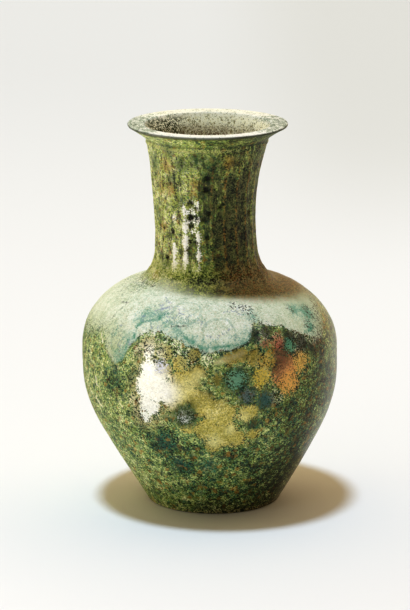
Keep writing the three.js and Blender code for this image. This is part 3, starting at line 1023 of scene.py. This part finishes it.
# Painted shadow of the lip together with the dirt: the circle round the neck's root is painted darker.
dirt_and_lip_shadow = rise(skin.dirt_and_lip_shadow() + (haze - 0.5) * 5 + (fine - 0.5) * 3, -3.5, 4.5)
dirt_and_lip_shadow = dirt_and_lip_shadow * fall(height, 112, 120)
dirt_and_shade_left = ramp(tone * 1.1 - 0.17, NECK_FLECKS)
dirt_and_shade_right = layers(
    mix(rise(contrast, 0.38, 0.62), EARTH, DRY_EARTH),
    (rise(fine_rust, 0.7, 0.9) * 0.7, RED_EARTH),
    (rise(fine_teal, 0.75, 0.9) * 0.5, GREEN_EARTH))
dirt_and_shade_paint = mix(rise(degrees, -5, 30) * seen, dirt_and_shade_left, dirt_and_shade_right)
colour = mix(dirt_and_lip_shadow * 0.85, colour, dirt_and_shade_paint)

# %% The lip, with a painted highlight along its front and painted shade on its outer edge
MINT = paint(146, 166, 144)
EDGE_SHADE = paint(60, 66, 40)
lip = rise(height, VASE_HEIGHT - 1.3, VASE_HEIGHT - 0.6)
back = rise(from_front, 105, 145)
front = fall(from_front, 30, 62)
# Painted highlight: the front of the lip is pushed towards white.
lip_tone_and_highlight = noise(place, 2.4, 4, 0.75, seed=97) + front * 0.22 + back * 0.18 + (fine - 0.5) * 0.28
throat_paint = ramp(fine * 0.5 + haze * 0.3 + cloud * 0.2 + 0.10, THROAT)
lip_paint = layers(
    mix(rise(lip_tone_and_highlight, 0.46, 0.66), MINT, WHITE),
    (fall(lip_tone_and_highlight, 0.36, 0.46) * 0.75, DEEP_GREEN),
    (back * 0.4, throat_paint))
# Painted shade on the lip's outer edge, a little stronger on the right.
right_edge = rise(degrees, 0, 30) * fall(degrees, 100, 140)
from_axis = coat.vector("LENGTH", coat.vector("MULTIPLY", place, (1, 1, 0)), out=1)
on_edge = rise(from_axis, LIP_RADIUS - 2, LIP_RADIUS - 1)
on_edge = on_edge * rise(height, VASE_HEIGHT - 3, VASE_HEIGHT - 2)
on_edge = on_edge * fall(height, VASE_HEIGHT - 0.5, VASE_HEIGHT)
colour = layers(colour, (lip * 0.9, lip_paint), (on_edge * (0.75 + right_edge * 0.2), EDGE_SHADE))

# %% The throat, with painted shade on its left inner wall and deeper down
FLAKE_GREEN = paint(84, 90, 54)
THROAT_BROWN = paint(120, 96, 60)
THROAT_SHADE = paint(56, 66, 30)
throat = rise(inside, 0.0, 0.3)
# Deeper in the throat it turns browner and darker: rust flecks and painted shade.
deep_shade_and_rust = rise(inside + (haze - 0.5) * 6, 5, 12)
flaked = fall(growth * 0.45 + fine * 0.3 + haze * 0.25, 0.38, 0.46) * rise(inside, 1, 4)
# Painted shade on the left inner wall of the throat.
throat_left = rise(-degrees, 70, 110) * fall(-degrees, 140, 165)
throat_paint = layers(
    throat_paint,
    (flaked * 0.45, FLAKE_GREEN),
    (deep_shade_and_rust * 0.2, THROAT_BROWN),
    (deep_shade_and_rust * rise(fine_rust, 0.45, 0.75) * 0.8, BROWN),
    (throat_left * fall(contrast, 0.50, 0.60) * 0.95, THROAT_SHADE))
throat_paint = mix(rise(inside, 0, 4), lip_paint, throat_paint)
colour = mix(throat, colour, throat_paint)

# %% Gloss and grain
PIT_BLACK = paint(8, 10, 8)
pits = rise(within(PITS, fray(0.5, 1)) + (haze - 0.5) * 1.5, -0.3, 0.4)
colour = mix(pits * 0.95, colour, PIT_BLACK)
metal = coat.math("MAXIMUM", bare * (1 - rust), bare_ridge_and_glint * 0.6) * (1 - crust) * (1 - pits)
polish = rise(degrees, 45, 72) * fall(degrees, 130, 160)
polish = polish * (1 - crust * 0.5) * (1 - on_neck * 0.8)
roughness = 0.64 - metal * 0.27 + crust * 0.2 + throat * 0.2
grain = tone * 0.3 + crust * 0.2 - pits * 0.4
bump = coat.node("ShaderNodeBump", None, {"Height": grain, "Distance": MM, "Strength": 0.8}, 0)
shader.inputs["Coat Roughness"].default_value = 0.3
finish = {"Base Color": colour, "Metallic": metal * 0.85, "Roughness": roughness,
          "Coat Weight": polish * 0.7, "Normal": bump}
for name, wire in finish.items():
    material.node_tree.links.new(wire.socket, shader.inputs[name])
print("the material has", len(material.node_tree.nodes), "nodes")

# %% The aged vase takes its place in the frame
shape_by_tree(vase, aged.tree, {"Material": material})
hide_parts("vase")
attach(vase, "root")
print("aged:", len(vase.data.polygons), "faces")

# %% [markdown]
# ## Ground and light
# The vase stands on pale paper, painted a little darker far behind, at the back on the right
# and near the front as painted shade. A cool lamp hangs high above it, a little to the left: it
# draws the shadow of the belly on the ground and of the lip on the shoulder. Warm light comes
# mostly from behind, so what faces the camera is darker than its edges. A low soft light on
# the left shines on the bare metal, whose white gleam is also a painted highlight.

# %% The pale ground, with painted shade on it
GROUND_REACH = 6000 * MM
GROUND_DROP = 0.1 * MM
ground_mesh = bpy.data.meshes.new("ground")
corner_signs = ((-1, -1), (1, -1), (1, 1), (-1, 1))
ground_corners = [(x * GROUND_REACH, y * GROUND_REACH, -GROUND_DROP) for x, y in corner_signs]
ground_mesh.from_pydata(ground_corners, [], [(0, 1, 2, 3)])
ground = new_object("ground", ground_mesh)
paper = bpy.data.materials.new("pale paper")
paper.use_nodes = True
page = Bench(paper.node_tree)
from_vase = page.node("ShaderNodeSeparateXYZ", None, {0: page.node("ShaderNodeTexCoord").output("Object")})
behind = from_vase.output("Y")
# Painted shade on the paper: darker far behind and near the front, with a painted shadow at the back on the
# right.
far_right_shadow = page.rise(behind, 0.4, 0.95) * page.rise(from_vase.output("X"), -0.02, 0.12)
tint = page.mix(page.rise(behind, 0.15, 1.3), paint(232, 234, 233), paint(219, 222, 221))
tint = page.mix(far_right_shadow * 0.5, tint, paint(204, 206, 200))
tint = page.mix(page.fall(behind, -0.15, 0.15), tint, paint(230, 231, 230))
paper_shader = paper.node_tree.nodes["Principled BSDF"]
paper.node_tree.links.new(tint.socket, paper_shader.inputs["Base Color"])
paper_shader.inputs["Roughness"].default_value = 0.9
paper_shader.inputs["Specular IOR Level"].default_value = 0.1
ground_mesh.materials.append(paper)


# %% Lights
def add_light(name, kind, place, target, power, tint, settings):
    """A light at a place in millimetres, turned towards a target."""
    lamp = bpy.data.lights.new(name, kind)
    lamp.energy = power
    lamp.color = tint
    for setting, value in settings.items():
        setattr(lamp, setting, value)
    light = new_object(name, lamp)
    light.location = Vector(place) * MM
    light.rotation_euler = (Vector(target) - Vector(place)).to_track_quat("-Z", "Y").to_euler()
    light.visible_camera = False


COOL_LIGHT = (0.77, 0.96, 1.22)
WARM_LIGHT = (1.0, 0.97, 0.90)
add_light("overhead", "SUN", (-165, -50, 1500), (0, 0, 0), 1.44, COOL_LIGHT, {"angle": math.radians(8)})
add_light("left gleam", "AREA", (-310, -260, 105), (-27, -53, 67), 0.14, WARM_LIGHT,
          {"shape": "RECTANGLE", "size": 110 * MM, "size_y": 195 * MM})
print("two lamps hang over the vase")

world = bpy.data.worlds.new("surroundings")
world.use_nodes = True
sky = Bench(world.node_tree)
FRONT_LEFT = (0.29, 0.25, 0.175, 1)
FRONT_RIGHT = (0.11, 0.09, 0.06, 1)
BACK_LEFT = (0.74, 0.57, 0.36, 1)
BACK_RIGHT = (0.94, 0.70, 0.44, 1)
direction = sky.node("ShaderNodeSeparateXYZ", None, {0: sky.node("ShaderNodeTexCoord")})
sky_front = sky.mix(sky.rise(direction.output("X"), -0.7, 0.4), FRONT_LEFT, FRONT_RIGHT)
sky_back = sky.mix(sky.rise(direction.output("X"), -0.6, 0.6), BACK_LEFT, BACK_RIGHT)
glow = sky.mix(sky.rise(direction.output("Y"), -0.5, 0.6), sky_front, sky_back)
world.node_tree.links.new(glow.socket, world.node_tree.nodes["Background"].inputs["Color"])
bpy.context.scene.world = world
